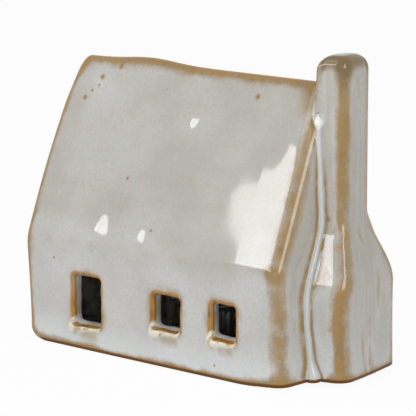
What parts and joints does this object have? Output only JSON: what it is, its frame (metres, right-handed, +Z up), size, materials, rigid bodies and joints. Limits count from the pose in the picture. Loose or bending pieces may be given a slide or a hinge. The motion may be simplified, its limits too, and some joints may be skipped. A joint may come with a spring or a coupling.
{
  "type": "tealight house",
  "caption": "Glazed stoneware cottage with a steep roof and an end chimney: a tealight slides in through the back doorway and glows through the front windows.",
  "frame": {"origin": "centre of the whole part's footprint, on the surface that it stands on", "axes": "+X along the ridge towards the chimney, +Y towards the back doorway, +Z up"},
  "size_m": [0.1332, 0.0604, 0.1107],
  "materials": {
    "glaze": "glossy off-white glaze that breaks to ochre brown along the edges",
    "foil": "drawn foil, satin",
    "wax": "paraffin wax, waxy and slightly translucent",
    "tin": "tinned sheet",
    "cotton": "braided cotton, waxed"
  },
  "bodies": {
    "house": {"floor_slab": "glaze", "front_wall": "glaze", "back_wall": "glaze", "left_gable": "glaze", "right_gable": "glaze", "front_roof": "glaze", "back_roof": "glaze", "chimney_breast": "glaze", "chimney_stack": "glaze"},
    "tealight": {"tealight_cup": "foil", "tealight_wax": "wax", "wick_sustainer": "tin", "tealight_wick": "cotton"}
  },
  "joints": [
    {"name": "tealight_slide", "type": "slide", "parent": "house", "child": "tealight", "axis": [0, 1, 0], "range_m": [0, 0.06]}
  ]
}
